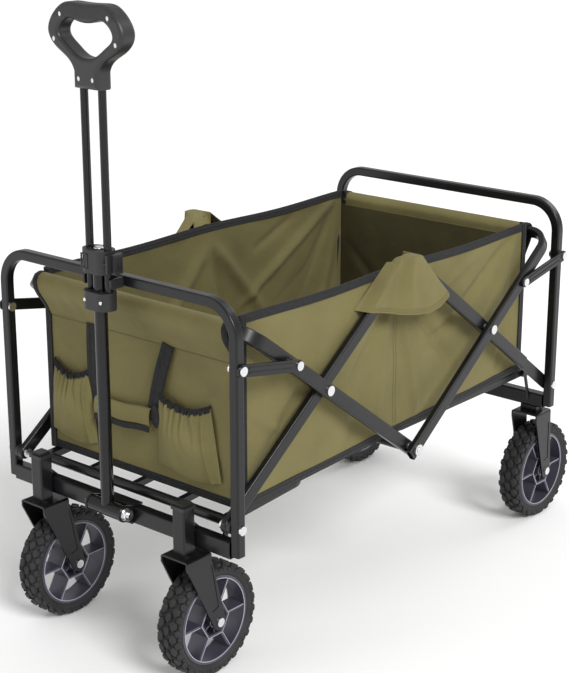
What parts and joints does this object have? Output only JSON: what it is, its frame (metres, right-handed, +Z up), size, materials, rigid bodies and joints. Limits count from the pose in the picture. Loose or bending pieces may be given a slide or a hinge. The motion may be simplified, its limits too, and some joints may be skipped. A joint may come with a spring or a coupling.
{
  "type": "folding camp wagon",
  "caption": "Folding camp wagon: double-scissor steel frame, fabric tub with front pockets, swivel front casters, fixed rear wheels and a telescoping pull handle.",
  "frame": {"origin": "on the ground, midway between the two end frames on the centre plane", "axes": "+Z up, +Y from the handle end to the rear end, +X across the wagon"},
  "size_m": [0.5218, 1.01, 0.9949],
  "materials": {
    "frame_paint": "satin powder coat",
    "stem_paint": "smooth semi-gloss coat",
    "bright_steel": "bright zinc",
    "black_plastic": "moulded matt",
    "grip_plastic": "fine grain",
    "hub_plastic": "moulded satin",
    "tyre_rubber": "matt rubber",
    "olive_fabric": "coated woven polyester",
    "black_webbing": "woven webbing"
  },
  "bodies": {
    "front_frame": {"front_frame_tube": "frame_paint", "front_cross_bar": "frame_paint", "caster_post_left": "frame_paint", "caster_post_right": "frame_paint", "post_caps": "black_plastic", "front_fasteners": "bright_steel", "front_leg_bushes": "black_plastic", "handle_bracket": "frame_paint", "handle_clip": "black_plastic", "front_base_hinge": "frame_paint"},
    "front_arms": {"front_diagonal_left": "frame_paint", "front_diagonal_right": "frame_paint", "front_arm_rivets": "bright_steel"},
    "front_upper": {"front_upper_arms": "frame_paint", "bottom_hinge_bolts": "bright_steel", "bottom_cross_tube": "frame_paint"},
    "rear_upper": {"rear_upper_arms": "frame_paint"},
    "rear_arms": {"rear_diagonal_left": "frame_paint", "rear_diagonal_right": "frame_paint", "rear_cross_rivets": "bright_steel"},
    "rear_frame": {"rear_frame_tube": "frame_paint", "rear_cross_bar": "frame_paint", "rear_fasteners": "bright_steel", "rear_fork_left": "frame_paint", "rear_fork_right": "frame_paint", "rear_axles": "bright_steel", "rear_base_hinge": "frame_paint"},
    "front_link_pair": {"front_links": "frame_paint", "front_link_rivets": "bright_steel"},
    "rear_link_pair": {"rear_links": "frame_paint", "rear_link_rivets": "bright_steel"},
    "front_base": {"front_base_grid": "frame_paint"},
    "rear_base": {"rear_base_grid": "frame_paint"},
    "tub_front": {"front_panel": "olive_fabric", "side_panel_left": "olive_fabric", "side_panel_right": "olive_fabric", "tub_floor": "olive_fabric", "front_pockets": "olive_fabric", "front_straps": "black_webbing"},
    "tub_rear": {"rear_panel": "olive_fabric"},
    "caster_left": {"caster_fork_left": "frame_paint", "caster_axle_left": "bright_steel"},
    "caster_right": {"caster_fork_right": "frame_paint", "caster_axle_right": "bright_steel"},
    "wheel_front_left": {"tyre_front_left": "tyre_rubber", "hub_front_left": "hub_plastic"},
    "wheel_front_right": {"tyre_front_right": "tyre_rubber", "hub_front_right": "hub_plastic"},
    "wheel_rear_left": {"tyre_rear_left": "tyre_rubber", "hub_rear_left": "hub_plastic"},
    "wheel_rear_right": {"tyre_rear_right": "tyre_rubber", "hub_rear_right": "hub_plastic"},
    "handle": {"handle_stem": "stem_paint", "upper_collar": "black_plastic"},
    "handle_slider": {"handle_rods": "stem_paint", "lower_block": "black_plastic", "grip_front_shell": "grip_plastic", "grip_rear_shell": "grip_plastic", "grip_screws": "bright_steel"},
    "handle_lock": {"lock_lever": "black_plastic"}
  },
  "joints": [
    {"name": "fold", "type": "hinge", "parent": "front_frame", "child": "front_arms", "pos_m": [0, -0.419, 0.266], "axis": [1, 0, 0], "range_deg": [0, 41.68], "deforming": ["side_panel_left", "side_panel_right", "tub_floor"]},
    {"name": "front_crossing", "type": "hinge", "parent": "front_arms", "child": "front_upper", "pos_m": [0, -0.2095, 0.41998], "axis": [1, 0, 0], "range_deg": [-83.38, 0]},
    {"name": "bottom_hinge", "type": "hinge", "parent": "front_upper", "child": "rear_upper", "pos_m": [0, 0, 0.266], "axis": [1, 0, 0], "range_deg": [0, 83.38]},
    {"name": "rear_crossing", "type": "hinge", "parent": "rear_upper", "child": "rear_arms", "pos_m": [0, 0.2095, 0.41998], "axis": [1, 0, 0], "range_deg": [-83.38, 0]},
    {"name": "rear_leg_hinge", "type": "hinge", "parent": "rear_arms", "child": "rear_frame", "pos_m": [0, 0.419, 0.266], "axis": [1, 0, 0], "range_deg": [0, 41.69]},
    {"name": "front_link_swing", "type": "hinge", "parent": "front_frame", "child": "front_link_pair", "pos_m": [0, -0.419, 0.50722], "axis": [1, 0, 0], "range_deg": [0, 85.88]},
    {"name": "rear_link_swing", "type": "hinge", "parent": "rear_frame", "child": "rear_link_pair", "pos_m": [0, 0.419, 0.50722], "axis": [1, 0, 0], "range_deg": [-85.88, 0]},
    {"name": "front_base_fold", "type": "hinge", "parent": "front_frame", "child": "front_base", "pos_m": [0, -0.395, 0.2585], "axis": [1, 0, 0], "range_deg": [0, 86.01]},
    {"name": "rear_base_fold", "type": "hinge", "parent": "rear_frame", "child": "rear_base", "pos_m": [0, 0.395, 0.2845], "axis": [1, 0, 0], "range_deg": [-86.01, 0]},
    {"name": "front_hem_hinge", "type": "hinge", "parent": "front_upper", "child": "tub_front", "pos_m": [0, -0.385, 0.54897], "axis": [1, 0, 0], "range_deg": [0, 41.69]},
    {"name": "rear_hem_hinge", "type": "hinge", "parent": "rear_upper", "child": "tub_rear", "pos_m": [0, 0.385, 0.54897], "axis": [1, 0, 0], "range_deg": [-41.69, 0]},
    {"name": "caster_swivel_left", "type": "hinge", "parent": "front_frame", "child": "caster_left", "pos_m": [-0.155, -0.441, 0.2], "axis": [0, 0, 1], "continuous": true},
    {"name": "wheel_spin_front_left", "type": "hinge", "parent": "caster_left", "child": "wheel_front_left", "pos_m": [-0.155, -0.395, 0.089], "axis": [1, 0, 0], "continuous": true},
    {"name": "wheel_spin_rear_left", "type": "hinge", "parent": "rear_frame", "child": "wheel_rear_left", "pos_m": [-0.207, 0.437, 0.089], "axis": [1, 0, 0], "continuous": true},
    {"name": "caster_swivel_right", "type": "hinge", "parent": "front_frame", "child": "caster_right", "pos_m": [0.155, -0.441, 0.2], "axis": [0, 0, 1], "continuous": true},
    {"name": "wheel_spin_front_right", "type": "hinge", "parent": "caster_right", "child": "wheel_front_right", "pos_m": [0.155, -0.395, 0.089], "axis": [1, 0, 0], "continuous": true},
    {"name": "wheel_spin_rear_right", "type": "hinge", "parent": "rear_frame", "child": "wheel_rear_right", "pos_m": [0.207, 0.437, 0.089], "axis": [1, 0, 0], "continuous": true},
    {"name": "handle_tilt", "type": "hinge", "parent": "front_frame", "child": "handle", "pos_m": [0, -0.446, 0.24], "axis": [1, 0, 0], "range_deg": [0, 100]},
    {"name": "handle_telescope", "type": "slide", "parent": "handle", "child": "handle_slider", "axis": [0, 0, -1], "range_m": [0, 0.2]},
    {"name": "handle_lock_press", "type": "slide", "parent": "handle", "child": "handle_lock", "axis": [-1, 0, 0], "range_m": [0, 0.0015], "stiffness_N_per_m": 400, "springref_m": -0.002}
  ],
  "couplings": [
    {"joint": "front_crossing", "follows": "fold", "ratio": -2},
    {"joint": "bottom_hinge", "follows": "fold", "ratio": 2},
    {"joint": "rear_crossing", "follows": "fold", "ratio": -2},
    {"joint": "rear_leg_hinge", "follows": "fold", "ratio": 1},
    {"joint": "front_link_swing", "follows": "fold", "ratio": 2.0599},
    {"joint": "rear_link_swing", "follows": "fold", "ratio": -2.0599},
    {"joint": "front_base_fold", "follows": "fold", "ratio": 2.0631},
    {"joint": "rear_base_fold", "follows": "fold", "ratio": -2.0631},
    {"joint": "front_hem_hinge", "follows": "fold", "ratio": 1},
    {"joint": "rear_hem_hinge", "follows": "fold", "ratio": -1}
  ]
}
